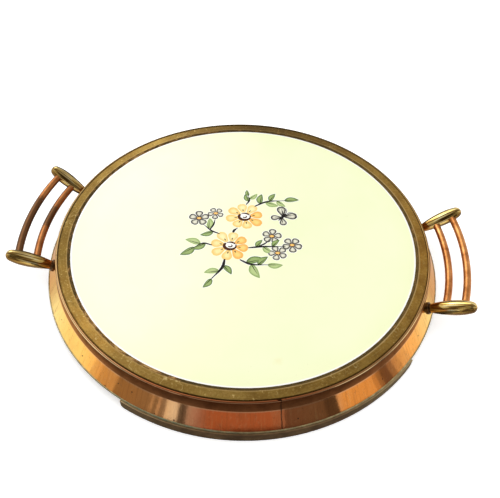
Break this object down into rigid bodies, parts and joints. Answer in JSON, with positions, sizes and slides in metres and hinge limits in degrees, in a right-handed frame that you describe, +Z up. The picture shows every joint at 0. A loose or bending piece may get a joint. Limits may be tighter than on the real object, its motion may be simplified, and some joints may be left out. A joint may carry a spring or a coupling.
{
  "type": "serving tray",
  "caption": "Round serving tray with a glazed decorated panel, brass frame ring, flared copper side, curved feet and a two-rod handle at each end.",
  "frame": {"origin": "middle of the plane that the curved feet stand on", "axes": "+Z up; +X towards the right handle and -X towards the left one; -Y towards the front, where the foot and the seam of the copper band are"},
  "size_m": [0.3984, 0.354, 0.0418],
  "materials": {
    "cream_glaze": "glossy cream glaze with a painted flower spray",
    "felt": "dark green felt",
    "pressed_board": "pressed fibre board",
    "frame_brass": "aged matte brass",
    "band_copper": "polished copper with brown tarnish in the neck",
    "hidden_copper": "plain copper",
    "pan_brass": "aged brass",
    "foot_bronze": "dark bronzed brass",
    "fastener_brass": "plain brass",
    "fastener_steel": "plated steel",
    "post_brass": "polished turned brass",
    "collar_bronze": "dark oxidised brass",
    "rod_copper": "polished copper rod with brown tarnish"
  },
  "bodies": {
    "root": {"decor_panel": "cream_glaze", "panel_felt": "felt", "support_board": "pressed_board", "frame_ring": "frame_brass", "copper_band": "band_copper", "seam_strap": "hidden_copper", "base_pan": "pan_brass", "front_foot": "foot_bronze", "back_foot": "foot_bronze", "front_foot_rivets": "fastener_brass", "back_foot_rivets": "fastener_brass", "tie_screws": "fastener_steel", "spacing_tubes": "fastener_steel", "tie_nuts": "fastener_steel", "post_screws": "fastener_brass", "post_washers": "fastener_brass", "left_front_post": "post_brass", "left_back_post": "post_brass", "right_front_post": "post_brass", "right_back_post": "post_brass", "left_front_collar": "collar_bronze", "left_back_collar": "collar_bronze", "right_front_collar": "collar_bronze", "right_back_collar": "collar_bronze", "left_inner_rod": "rod_copper", "left_outer_rod": "rod_copper", "right_inner_rod": "rod_copper", "right_outer_rod": "rod_copper"}
  },
  "joints": []
}
